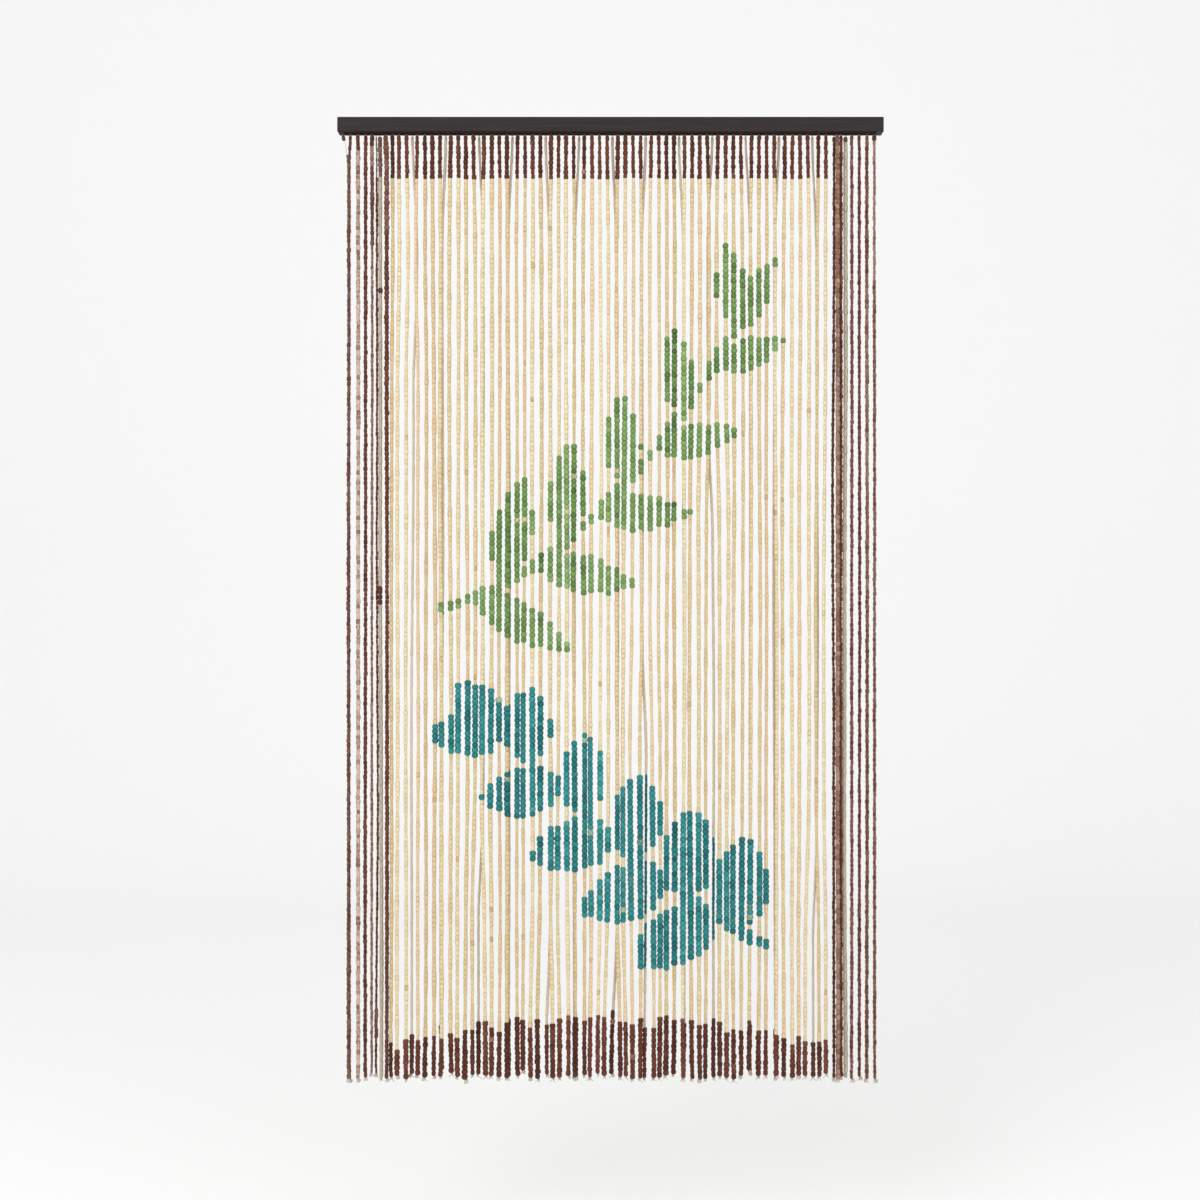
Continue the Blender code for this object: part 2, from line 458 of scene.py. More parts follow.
def leafList(spray):
    # Each leaf is its foot, its direction, its length and half its width
    leaves = []
    for number in range(spray["leaves"]):
        way = number / (spray["leaves"] - 1)
        share = between((spray["leavesFrom"], chart["leavesTo"]), way)
        length = between(spray["length"], way)
        half = between(spray["halfWidth"], way)
        angle = math.radians(between(spray["angle"], way))
        for side in (-1, 1):
            foot = onStem(spray, min(max(share + chart["stagger"] * side, 0.0), 1.0))
            leaves.append((foot, headingAt(spray, share) + side * angle, length, half))
    foot = onStem(spray, chart["tipLeafFrom"])
    length = spray["length"][1] * chart["tipLeafLonger"]
    leaves.append((foot, headingAt(spray, 1.0 - chart["nearby"]), length, spray["halfWidth"][1]))
    return leaves


def inSpray(spray, leaves, x, z):
    point = Vector((x, z))
    for foot, turned, length, half in leaves:
        out = point - foot
        along = (out.x * math.cos(turned) + out.y * math.sin(turned)) / length
        if 0.0 < along < 1.0:
            across = abs(out.y * math.cos(turned) - out.x * math.sin(turned))
            if across < half * math.sin(math.pi * along ** chart["belly"]) ** spray["roundness"]:
                return True
    steps = chart["stemSteps"]
    nearest = min((point - onStem(spray, step / steps)).length for step in range(steps + 1))
    return nearest < spray["stemHalf"]


sprayLeaves = [(spray, leafList(spray)) for spray in chart["sprays"]]


def stainAt(strand, fall):
    x, _, z = spotOn(strand, fall)
    if isAtEdge(strand):
        return "brown"
    if isOuterBack(strand):
        patches = brownOnOuterBack[strand.number]
        return "brown" if any(start <= fall < end for start, end in patches) else "beige"
    if fall > strandLength(strand) - bandHeight(strand):
        return "brown"
    if not isAtBack(strand) and z > chart["topBandEnds"]:
        return "brown"
    for spray, leaves in sprayLeaves:
        if inSpray(spray, leaves, x, z):
            return spray["stain"]
    return "beige" if isAtBack(strand) else "cream"


# Beads: where each one sits, how big it is and how it is stained

beads = {
    "firstAt": 0.0042,          # below the rail, under the eye
    "pitch": 0.0103,
    "pitchVary": 0.08,
    "slimPitch": 0.0180,
    # A bead's belly against the solid's even width
    "fullness": {"cream": 1.10, "brown": 1.23, "beige": 1.12},
    "radiusVary": {"cream": 0.07, "brown": 0.14, "green": 0.08, "teal": 0.08, "beige": 0.05},
    "strandVary": (0.87, 1.078),    # all the beads of a strand, at their thinnest and fattest
    "swell": 0.12,              # how much a cream strand thickens and thins along its length
    "swellEvery": (0.07, 0.22),
    "bandVary": 0.12,
    "bandUneven": 0.0016,       # how far the top band's lower edge steps from strand to strand
    "motifRadius": {"green": 0.0060, "teal": 0.0066},
    "slimMotifRadius": 0.0030,
    "tilt": 0.04,
    "offCentre": {"cream": 0.0002, "brown": 0.0005, "green": 0.0003, "teal": 0.0003, "beige": 0.0001},
    "spare": 0.00015,           # least air between two beads
    "mostOnStrand": 400,
    "shortest": 0.004,          # no bead starts where less than this is left
    "lengthShare": 0.985,       # of the room that each bead has on its thread
    "worn": (0.3, 0.6),         # wear of a bead that has lost its stain in patches
    "sound": (0.0, 0.2),
    "grainShift": 40,
    "shadedBehindTone": 0.0,          # of the green and teal beads on the back strands, the darkest, as painted shade behind the front row
}

Bead = namedtuple("Bead", "strand fall half radius stain order")

# Strands whose beads differ from their neighbours. Each stretch has how far down it ends, its tone,
# its wear, how uneven that wear is, and its size.
edgeLooks = {
    0: ((0.015, 0.36, 0.06, 0.08, 0.95), (2.0, 0.54, 0.14, 0.10, 0.86)),
    1: ((0.060, 0.40, 0.08, 0.08, 0.88), (2.0, 0.50, 0.10, 0.10, 0.88)),
    2: ((0.030, 0.36, 0.08, 0.08, 1.0), (0.062, 0.94, 0.40, 0.06, 1.10), (0.088, 0.72, 0.34, 0.10, 1.10),
        (2.0, 0.86, 0.45, 0.14, 1.05)),
    3: ((2.0, 0.40, 0.08, 0.08, 1.0),),
    4: ((0.030, 0.36, 0.08, 0.08, 1.1), (0.062, 0.90, 0.16, 0.12, 1.1), (0.230, 0.52, 0.12, 0.12, 1.1),
        (2.0, 0.80, 0.20, 0.14, 0.76)),
    5: ((0.200, 0.66, 0.12, 0.12, 1.50), (2.0, 0.38, 0.06, 0.08, 1.25)),
    59: ((2.0, 0.84, 0.10, 0.08, 1.22),),
    60: ((2.0, 0.42, 0.08, 0.08, 1.05),),
    61: ((2.0, 0.56, 0.14, 0.16, 0.98),),
    62: ((2.0, 0.42, 0.06, 0.08, 0.92),),
    63: ((0.310, 0.55, 0.10, 0.10, 0.92), (0.950, 0.74, 0.12, 0.14, 0.92), (2.0, 0.56, 0.10, 0.10, 0.92)),
    64: ((0.015, 0.45, 0.06, 0.08, 1.20), (0.300, 0.80, 0.10, 0.10, 0.76), (2.0, 0.62, 0.10, 0.10, 0.88)),
    65: ((0.090, 0.84, 0.10, 0.12, 0.96), (2.0, 0.12, 0.0, 0.05, 0.98)),
    79: ((0.012, 0.55, 0.08, 0.08, 1.0), (2.0, 0.18, 0.0, 0.05, 1.30)),
    80: ((0.090, 0.60, 0.10, 0.10, 0.60), (1.815, 0.42, 0.10, 0.10, 0.95), (1.885, 0.60, 0.06, 0.08, 1.5),
         (2.0, 0.42, 0.10, 0.10, 0.95)),
    81: ((2.0, 0.42, 0.10, 0.10, 1.1),),
}
brownOnOuterBack = {65: ((0.0, 0.088), (0.318, 0.330), (0.943, 0.975)), 79: ((0.0, 0.012),)}
bareThread = {0: ((0.0150, 0.0490),)}       # the outermost strand has lost its beads here


def edgeLook(strand, fall):
    for end, tone, wear, uneven, size in edgeLooks.get(strand.number, ()):
        if fall < end:
            return {"tone": tone, "wear": wear, "uneven": uneven, "size": size}
    return {"tone": None, "wear": None, "uneven": 0.0, "size": 1.0}


def nearestNeighbour(strand, fall):
    # The thin strands beside the outer back ones leave those the room
    row = rows["back" if isAtBack(strand) else "front"]
    inPlane = [other for other in row if not isForward(other) and (other is strand or not isBeside(other))]
    if isForward(strand):
        return 1.0
    at = inPlane.index(strand)
    here = spotOn(strand, fall)[0]
    beside = inPlane[max(at - 1, 0):at] + inPlane[at + 1:at + 2]
    return min(abs(here - spotOn(other, fall)[0]) for other in beside)


def beadEnds(strand, start, end, draw):
    # Where one bead ends and the next begins, from one height to another
    falls = [start]
    while falls[-1] < end - beads["shortest"]:
        slim = isAtBack(strand) and stainAt(strand, falls[-1]) == "beige"
        pitch = beads["slimPitch"] if slim else beads["pitch"]
        falls.append(falls[-1] + pitch * draw.uniform(1 - beads["pitchVary"], 1 + beads["pitchVary"]))
    stretch = (end - start) / (falls[-1] - start)
    return [start + (fall - start) * stretch for fall in falls]


def beadsOn(strand):
    draw = drawsFor("beads", strand.number)
    slim = isAtBack(strand)
    length = strandLength(strand)
    start = beads["firstAt"]
    falls = []
    if not slim and not isAtEdge(strand):
        bandEnd = hanging["underside"] - chart["topBandEnds"] + beads["bandUneven"] * draw.uniform(-1, 1)
        falls = beadEnds(strand, start, bandEnd, draw)[:-1]
        start = bandEnd
    falls += beadEnds(strand, start, length, draw)
    own = draw.uniform(*beads["strandVary"])
    ownLow = draw.uniform(1 - beads["bandVary"], 1 + beads["bandVary"])
    swellEvery = draw.uniform(*beads["swellEvery"])
    swellFrom = draw.uniform(0, swellEvery)
    found = []
    for order, (top, bottom) in enumerate(zip(falls, falls[1:], strict=False)):
        middle = (top + bottom) / 2
        if any(low < middle < high for low, high in bareThread.get(strand.number, ())):
            continue
        stain = stainAt(strand, middle)
        if stain in ("green", "teal"):
            radius = beads["slimMotifRadius"] if slim else beads["motifRadius"][stain]
        elif stain == "brown" and not isAtEdge(strand) and middle > hanging["halfWay"]:
            radius = strand.lowRadius * ownLow * beads["fullness"]["brown"]
        else:
            radius = strand.radius * own * beads["fullness"][stain]
        if stain == "cream":
            radius *= 1 + beads["swell"] * math.sin(2 * math.pi * (middle - swellFrom) / swellEvery)
        radius *= edgeLook(strand, middle)["size"]
        vary = beads["radiusVary"][stain]
        radius *= draw.uniform(1 - vary, 1 + vary)
        radius = min(radius, nearestNeighbour(strand, middle) / 2 - beads["spare"])
        half = (bottom - top) / 2 * beads["lengthShare"]
        found.append(Bead(strand, middle, half, radius, stain, order))
    return found


allStrands = rows["front"] + rows["back"]
allBeads = [bead for strand in allStrands for bead in beadsOn(strand)]
print(f"{len(allBeads)} beads counted out")

# One bead of each cut, turned on a lathe

cuts = {
    # rings of (share of the radius, share of half the length) from the bottom up
    "round": {"sides": 8, "rings": ((0.74, -1.0), (1.0, -0.54), (1.0, 0.54), (0.74, 1.0))},
    "barrel": {"sides": 8, "rings": ((0.83, -1.0), (1.0, -0.58), (1.0, 0.58), (0.83, 1.0))},
    "slim": {"sides": 6, "rings": ((0.84, -1.0), (1.0, -0.74), (1.0, 0.74), (0.84, 1.0))},
}

uvName = "OFBake"
beadMarks = ("tone", "wear", "shift", "blush")
beadMap = {
    # One bead's map inside a unit cell: its side is a strip, and its two ends are small discs below that
    "topEnd": 0.12,
    "bottomEnd": 0.34,
    "endHeight": 0.12,
    "endRadius": 0.13,
    "sideStart": 0.04,
    "sideWidth": 0.92,
    "sideMiddle": 0.62,
    "sideHalf": 0.34,
}


def turnedBead(cut):
    bead = bmesh.new()
    outline = [bead.verts.new((radius, 0, height)) for radius, height in cut["rings"]]
    edges = [bead.edges.new(pair) for pair in zip(outline, outline[1:], strict=False)]
    bmesh.ops.spin(
        bead, geom=outline + edges, cent=(0, 0, 0), axis=(0, 0, 1),
        angle=2 * math.pi, steps=cut["sides"], use_merge=True,
    )
    rims = [edge for edge in bead.edges if edge.is_boundary]
    bmesh.ops.holes_fill(bead, edges=rims, sides=cut["sides"])
    bmesh.ops.recalc_face_normals(bead, faces=bead.faces)
    for face in bead.faces:
        face.smooth = abs(face.normal.z) < 0.95     # all but its two ends
    layOut(bead)
    return bead


def layOut(bead):
    layer = bead.loops.layers.uv.new(uvName)
    for face in bead.faces:
        if not face.smooth:
            middle = Vector((beadMap["topEnd" if face.normal.z > 0 else "bottomEnd"], beadMap["endHeight"]))
            for loop in face.loops:
                loop[layer].uv = middle + loop.vert.co.xy * beadMap["endRadius"]
            continue
        centre = face.calc_center_median()
        facing = math.atan2(centre.y, centre.x)
        for loop in face.loops:
            angle = math.atan2(loop.vert.co.y, loop.vert.co.x)
            angle = facing + (angle - facing + math.pi) % (2 * math.pi) - math.pi
            around = beadMap["sideStart"] + beadMap["sideWidth"] * (angle + math.pi) / (2 * math.pi)
            loop[layer].uv = (around, beadMap["sideMiddle"] + beadMap["sideHalf"] * loop.vert.co.z)


def flattened(shape):
    mesh = bpy.data.meshes.new("pattern")
    shape.to_mesh(mesh)
    shape.free()
    parts = {
        "points": np.empty(len(mesh.vertices) * 3, np.float32),
        "corners": np.empty(len(mesh.loops), np.int32),
        "starts": np.empty(len(mesh.polygons), np.int32),
        "smooth": np.empty(len(mesh.polygons), bool),
        "uv": np.empty(len(mesh.loops) * 2, np.float32),
    }
    mesh.vertices.foreach_get("co", parts["points"])
    mesh.loops.foreach_get("vertex_index", parts["corners"])
    mesh.polygons.foreach_get("loop_start", parts["starts"])
    mesh.polygons.foreach_get("use_smooth", parts["smooth"])
    mesh.uv_layers[uvName].uv.foreach_get("vector", parts["uv"])
    bpy.data.meshes.remove(mesh)
    parts["points"] = parts["points"].reshape(-1, 3)
    parts["uv"] = parts["uv"].reshape(-1, 2)
    return parts


patterns = {name: flattened(turnedBead(cut)) for name, cut in cuts.items()}


def placedPoints(pattern, spots):
    # Turns, sizes and leans each copy, and sets it at its place
    x, y, z = (pattern["points"][None, :, axis] for axis in range(3))
    cosine = np.cos(spots["turn"])[:, None]
    sine = np.sin(spots["turn"])[:, None]
    radius = spots["radius"][:, None]
    height = z * spots["half"][:, None]
    out = np.empty((len(spots["turn"]), pattern["points"].shape[0], 3), np.float32)
    out[:, :, 0] = (x * cosine - y * sine) * radius + spots["slopeX"][:, None] * height
    out[:, :, 1] = (x * sine + y * cosine) * radius + spots["slopeY"][:, None] * height
    out[:, :, 2] = height
    return out + spots["centre"][:, None, :]


def joined(name, batches):
    # Many copies of a few patterns in one mesh. A batch is a pattern and the spots of its copies.
    total = sum(len(spots["turn"]) for _, spots in batches)
    perSide = math.ceil(math.sqrt(total))
    points, corners, starts, smooth, uv = [], [], [], [], []
    marks = {mark: [] for mark in (*beadMarks, "end")}
    pointCount = cornerCount = cell = 0
    for pattern, spots in batches:
        count = len(spots["turn"])
        if not count:
            continue
        size = len(pattern["points"])
        copies = np.arange(count)
        points.append(placedPoints(pattern, spots).reshape(-1, 3))
        corners.append((pattern["corners"][None, :] + size * copies[:, None]).ravel() + pointCount)
        loops = len(pattern["corners"])
        starts.append((pattern["starts"][None, :] + loops * copies[:, None]).ravel() + cornerCount)
        smooth.append(np.tile(pattern["smooth"], count))
        cells = np.stack(((cell + copies) % perSide, (cell + copies) // perSide), axis=1)
        uv.append(((pattern["uv"][None, :, :] + cells[:, None, :]) / perSide).reshape(-1, 2))
        for mark in beadMarks:
            marks[mark].append(np.repeat(spots[mark], size))
        marks["end"].append(np.tile(np.abs(pattern["points"][:, 2]), count))
        pointCount += size * count
        cornerCount += loops * count
        cell += count
    mesh = bpy.data.meshes.new(name)
    mesh.vertices.add(pointCount)
    mesh.vertices.foreach_set("co", np.concatenate(points).ravel())
    mesh.loops.add(cornerCount)
    mesh.loops.foreach_set("vertex_index", np.concatenate(corners).astype(np.int32))
    mesh.polygons.add(sum(len(part) for part in starts))
    mesh.polygons.foreach_set("loop_start", np.concatenate(starts).astype(np.int32))
    mesh.update(calc_edges=True)
    mesh.polygons.foreach_set("use_smooth", np.concatenate(smooth))
    layer = mesh.uv_layers.new(name=uvName)
    layer.uv.foreach_set("vector", np.concatenate(uv).ravel().astype(np.float32))
    for mark, values in marks.items():
        attribute = mesh.attributes.new(mark, "FLOAT", "POINT")
        attribute.data.foreach_set("value", np.concatenate(values).astype(np.float32))
    thing = bpy.data.objects.new(name, mesh)
    scene.collection.objects.link(thing)
    return thing


# Materials


def linear(code):
    # A colour written as six hex digits, in the renderer's own scale
    channels = (int(code[start:start + 2], 16) / 255 for start in (0, 2, 4))
    return tuple(c / 12.92 if c <= 0.04045 else ((c + 0.055) / 1.055) ** 2.4 for c in channels)


usual = (0.3, 0.7)          # where nearly all of a noise's values lie


class Nodes:
    # Short ways to add the few kinds of node that these materials use

    def __init__(self, name, **fixed):
        self.material = bpy.data.materials.new(name)
        self.material.use_nodes = True
        self.tree = self.material.node_tree
        self.shader = self.tree.nodes["Principled BSDF"]
        for socket, value in fixed.items():
            self.shader.inputs[socket.replace("_", " ")].default_value = value

    def add(self, kind, **settings):
        node = self.tree.nodes.new(kind)
        for key, value in settings.items():
            setattr(node, key, value)
        return node

    def link(self, source, target):
        self.tree.links.new(source, target)

    def mark(self, name):
        return self.add("ShaderNodeAttribute", attribute_name=name).outputs["Fac"]

    def place(self):
        return self.add("ShaderNodeTexCoord").outputs["Object"]

    def math(self, operation, first, second=None, third=None):
        node = self.add("ShaderNodeMath", operation=operation)
        for socket, value in zip(node.inputs, (first, second, third), strict=False):
            if value is None:
                continue
            if isinstance(value, (int, float)):
                socket.default_value = value
            else:
                self.link(value, socket)
        return node.outputs[0]

    def stretched(self, vector, scale, shift=None):
        # Coordinates stretched by scale, and moved on for each bead so that no two have the same grain
        if shift is not None:
            moved = self.add("ShaderNodeVectorMath", operation="ADD")
            self.link(vector, moved.inputs[0])
            self.link(shift, moved.inputs[1])
            vector = moved.outputs[0]
        node = self.add("ShaderNodeMapping")
        node.inputs["Scale"].default_value = scale
        self.link(vector, node.inputs["Vector"])
        return node.outputs["Vector"]

    def noise(self, scale, detail=3.0, roughness=0.55, shift=None):
        node = self.add("ShaderNodeTexNoise")
        node.inputs["Scale"].default_value = 1.0
        node.inputs["Detail"].default_value = detail
        node.inputs["Roughness"].default_value = roughness
        self.link(self.stretched(self.place(), scale, shift), node.inputs["Vector"])
        return node.outputs["Fac"]

    def finish(self, colour, roughness):
        self.link(colour, self.shader.inputs["Base Color"])
        self.link(roughness, self.shader.inputs["Roughness"])

    def spread(self, value, low, high, newLow=0.0, newHigh=1.0):
        node = self.add("ShaderNodeMapRange", clamp=True)
        self.link(value, node.inputs["Value"])
        ends = {"From Min": low, "From Max": high, "To Min": newLow, "To Max": newHigh}
        for socket, number in ends.items():
            node.inputs[socket].default_value = number
        return node.outputs["Result"]

    def ramp(self, value, stops):
        node = self.add("ShaderNodeValToRGB")
        elements = node.color_ramp.elements
        while len(elements) < len(stops):
            elements.new(0.5)
        for element, (position, code) in zip(elements, stops, strict=True):
            element.position = position
            element.color = (*linear(code), 1)
        self.link(value, node.inputs["Fac"])
        return node.outputs["Color"]

    def mix(self, amount, first, second, blend="MIX"):
        node = self.add("ShaderNodeMix", data_type="RGBA", blend_type=blend)
        for socket, value in ((node.inputs[0], amount), (node.inputs[6], first), (node.inputs[7], second)):
            if isinstance(value, (int, float)):
                socket.default_value = value
            elif isinstance(value, str):
                socket.default_value = (*linear(value), 1)
            else:
                self.link(value, socket)
        return node.outputs[2]

    def bump(self, height, distance, strength):
        node = self.add("ShaderNodeBump")
        node.inputs["Distance"].default_value = distance
        node.inputs["Strength"].default_value = strength
        self.link(height, node.inputs["Height"])
        self.link(node.outputs["Normal"], self.shader.inputs["Normal"])


wood = {
    # how fine each pattern is across and along a bead, in repeats a metre
    "grain": (1500, 1500, 190),
    "blotches": (210, 210, 120),
    "along": (300, 300, 26),
    "patches": (420, 420, 260),
    "coatRoughness": 0.35,
    "mostBlush": 0.62,
    "streaks": (0.38, 0.66),
    "rimPower": 6.0,            # the higher, the narrower the worn rim, which on the pale beads is also painted shade where beads touch
    "bare": (0.88, 1.06),       # wear and patches together, where bare wood starts and where it is full
    "relief": 0.00025,
}


def beadWood(name, look):
    # Turned wood under a stain or paint, which wears through to bare wood in patches and at the ends, where
    # the pale beads' darker rims are also painted shade between touching beads
    nodes = Nodes(
        name, Specular_IOR_Level=look["gloss"], Coat_Weight=look["varnish"],
        Coat_Roughness=wood["coatRoughness"],
    )
    shift = nodes.mark("shift")
    grain = nodes.noise(wood["grain"], 4.0, 0.6, shift)
    blotch = nodes.noise(wood["blotches"], 2.0, shift=shift)
    tone = nodes.math("MULTIPLY_ADD", blotch, look["blotch"], nodes.mark("tone"))
    along = nodes.noise(wood["along"], 2.0)
    tone = nodes.math("MULTIPLY_ADD", along, look["along"], tone)
    colour = nodes.ramp(nodes.math("SUBTRACT", tone, (look["blotch"] + look["along"]) * 0.5), look["stops"])
    colour = nodes.mix(nodes.math("MULTIPLY", nodes.mark("blush"), wood["mostBlush"]), colour, look["blush"])
    streaks = nodes.spread(grain, *wood["streaks"], 1.0 - look["grain"], 1.0 + look["grain"] * 0.4)
    shade = nodes.add("ShaderNodeCombineColor")
    for channel in range(3):
        nodes.link(streaks, shade.inputs[channel])
    colour = nodes.mix(1.0, colour, shade.outputs[0], "MULTIPLY")
    # Wear and painted shade at the bead ends: lighter bare wood on the dark beads, and on the pale beads a
    # darker rim that also stands in for shade where beads touch
    wornAndShadedRim = nodes.math("MULTIPLY", nodes.math("POWER", nodes.mark("end"), wood["rimPower"]), look["rimWearAndShade"])
    worn = nodes.math("ADD", nodes.mark("wear"), wornAndShadedRim)
    patches = nodes.noise(wood["patches"], 3.0, 0.65, shift)
    bare = nodes.spread(nodes.math("ADD", patches, worn), *wood["bare"])
    colour = nodes.mix(bare, colour, look["bare"])
    nodes.finish(colour, nodes.spread(patches, *usual, *look["roughness"]))
    height = nodes.math("MULTIPLY_ADD", patches, 0.5, grain)
    nodes.bump(height, wood["relief"], look["relief"])
    return nodes.material


woods = {
    "cream": {
        "stops": ((0.0, "B89A69"), (0.22, "CAAF7E"), (0.55, "D9C59A"), (0.85, "E6D8B5"), (1.0, "EFE6CD")),
        "blush": "DBBC99", "bare": "BE9C6C", "rimWearAndShade": 0.27, "relief": 0.5,
        "grain": 0.16, "blotch": 0.30, "along": 0.50,
        "gloss": 0.25, "varnish": 0.05, "roughness": (0.42, 0.60),
    },
    "brown": {
        "stops": ((0.0, "38190F"), (0.35, "562B1B"), (0.65, "6F3E2C"), (1.0, "94604A")),
        "blush": "6B342A", "bare": "A07460", "rimWearAndShade": 0.22, "relief": 0.5,
        "grain": 0.28, "blotch": 0.34, "along": 0.20,
        "gloss": 0.14, "varnish": 0.03, "roughness": (0.40, 0.58),
    },
    "worn brown": {
        "stops": ((0.0, "38190F"), (0.30, "562C1E"), (0.55, "704436"), (0.80, "8B6757"), (1.0, "AA8C7B")),
        "blush": "6A4034", "bare": "CDB6A4", "rimWearAndShade": 0.20, "relief": 0.5,
        "grain": 0.26, "blotch": 0.32, "along": 0.24,
        "gloss": 0.14, "varnish": 0.03, "roughness": (0.40, 0.60),
    },
    "green": {
        "stops": ((0.0, "415A2E"), (0.35, "628543"), (0.70, "7FA05D"), (1.0, "A0BE7E")),
        "blush": "6F9453", "bare": "C4BA8E", "rimWearAndShade": 0.20, "relief": 0.4,
        "grain": 0.16, "blotch": 0.28, "along": 0.10,
        "gloss": 0.18, "varnish": 0.04, "roughness": (0.38, 0.55),
    },
    "teal": {
        "stops": ((0.0, "0F5254"), (0.35, "1D7576"), (0.70, "328E8D"), (1.0, "62AFA8")),
        "blush": "27797C", "bare": "B3B392", "rimWearAndShade": 0.20, "relief": 0.4,
        "grain": 0.16, "blotch": 0.28, "along": 0.10,
        "gloss": 0.18, "varnish": 0.04, "roughness": (0.38, 0.55),
    },
    "beige": {
        "stops": ((0.0, "B3A78F"), (0.35, "CABFA8"), (0.70, "DACFBA"), (1.0, "E7DECD")),
        "blush": "E8CFB2", "bare": "BC9F7A", "rimWearAndShade": 0.14, "relief": 0.5,
        "grain": 0.16, "blotch": 0.20, "along": 0.20,
        "gloss": 0.20, "varnish": 0.02, "roughness": (0.50, 0.68),
    },
}
finishes = {name: beadWood(f"{name} beads", look) for name, look in woods.items()}

paint = {
    "gloss": 0.08,
    "brushMarks": (9, 420, 420),
    "spots": (34, 34, 34),
    "stops": ((0.0, "2A2526"), (0.5, "2F2A2B"), (1.0, "353031")),
    "spotColour": "383333",
    # The underside's darker, browner colour below is painted shade
    "undersideShade": "321D15",
    "shadedBelow": (-0.0150, -0.0154),
    "shadedUpTo": (0.556, 0.549),           # from the middle of the rail to either side
    "roughness": (0.42, 0.58),
    "relief": 0.0002,
}


def railPaint():
    # Dark satin paint on a planed bar, brushed along it, with a few dull spots
    nodes = Nodes("rail paint", Specular_IOR_Level=paint["gloss"])
    brushed = nodes.noise(paint["brushMarks"], 4.0, 0.6)
    dull = nodes.noise(paint["spots"], 3.0)
    colour = nodes.ramp(nodes.spread(brushed, *usual), paint["stops"])
    colour = nodes.mix(nodes.spread(dull, 0.45, 0.75, 0.0, 0.30), colour, paint["spotColour"])
    # But for its ends, the underside is painted a darker, browner black and made rougher: painted shade where
    # the rail faces down
    height = nodes.add("ShaderNodeSeparateXYZ")
    nodes.link(nodes.place(), height.inputs[0])
    under = nodes.spread(height.outputs["Z"], *paint["shadedBelow"])
    middle = nodes.spread(nodes.math("ABSOLUTE", height.outputs["X"]), *paint["shadedUpTo"])
    shadedUnderside = nodes.math("MULTIPLY", under, middle)
    colour = nodes.mix(shadedUnderside, colour, paint["undersideShade"])
    satin = nodes.spread(dull, *usual, *paint["roughness"])
    nodes.finish(colour, nodes.math("MAXIMUM", satin, shadedUnderside))
    nodes.bump(brushed, paint["relief"], 0.35)
    return nodes.material


metal = {
    "tarnish": (900, 900, 900),
    "stops": ((0.0, "A39A90"), (0.6, "8D8278"), (1.0, "6E6055")),
    "roughness": (0.22, 0.42),
    "relief": 0.0001,
}


def eyeMetal():
    nodes = Nodes("eye metal", Metallic=1.0)
    tarnish = nodes.noise(metal["tarnish"], 3.0)
    colour = nodes.ramp(nodes.spread(tarnish, 0.3, 0.75), metal["stops"])
    nodes.finish(colour, nodes.spread(tarnish, *usual, *metal["roughness"]))
    nodes.bump(tarnish, metal["relief"], 0.3)
    return nodes.material


cotton = {
    "sheen": 0.15,
    "twist": 420.0,
    "twistUneven": 2.0,
    "twistShade": "8F887C",
    "dust": (70, 70, 70),
    "roughness": (0.65, 0.85),
    "relief": 0.0002,
    "thread": ((0.0, "A8A297"), (0.5, "BBB6AC"), (1.0, "C9C5BC")),
    "knots": ((0.0, "A39D92"), (0.5, "B7B1A6"), (1.0, "C8C3B9")),
}


def threadFinish(name):
    # Waxed thread: fine twist across it, painted shade in the hollows of the twist, and a slightly dusty
    # colour
    nodes = Nodes(name, Sheen_Weight=cotton["sheen"])
    twist = nodes.add("ShaderNodeTexWave", wave_type="BANDS", bands_direction="DIAGONAL")
    twist.inputs["Scale"].default_value = cotton["twist"]
    twist.inputs["Distortion"].default_value = cotton["twistUneven"]
    nodes.link(nodes.place(), twist.inputs["Vector"])
    dust = nodes.noise(cotton["dust"], 3.0)
    colour = nodes.ramp(nodes.spread(dust, *usual), cotton[name])
    # Painted shade: the hollows of the twist are darkened
    colour = nodes.mix(nodes.spread(twist.outputs["Fac"], 0.0, 1.0, 0.25, 0.0), colour, cotton["twistShade"])
    nodes.finish(colour, nodes.spread(dust, *usual, *cotton["roughness"]))
    nodes.bump(twist.outputs["Fac"], cotton["relief"], 0.5)
    return nodes.material


railFinish = railPaint()
metalFinish = eyeMetal()
threadLook = threadFinish("thread")
knotLook = threadFinish("knots")
print("materials mixed")

# Bead pieces

tones = {
    # middle of the tone, how far strands differ, how far beads differ, share of worn beads
    "cream": (0.54, 0.24, 0.10, 0.01),
    "brown": (0.46, 0.20, 0.14, 0.01),
    "green": (0.48, 0.22, 0.22, 0.01),
    "teal": (0.45, 0.18, 0.22, 0.01),
    "beige": (0.50, 0.22, 0.06, 0.01),
    "thin": (0.34, 0.22, 0.06, 0.01),
}
blushes = {"thin": (0.0, 0.7), "beige": (0.0, 0.1)}
blushOfOthers = (-1.2, 1.0)     # less than 0 is no blush
barrelToo = (2, 59)             # brown strands with the barrels of the cream ones


def kindOf(bead):
    # The thin strands in the spaces are darker and redder than the thick pale ones at both sides
    return "thin" if bead.stain == "beige" and not isOuterBack(bead.strand) else bead.stain


def inField(bead):
    return not isAtEdge(bead.strand) and not isOuterBack(bead.strand)


def cutOf(bead):
    if bead.stain == "beige":
        return "slim"
    return "barrel" if bead.stain == "cream" or bead.strand.number in barrelToo else "round"


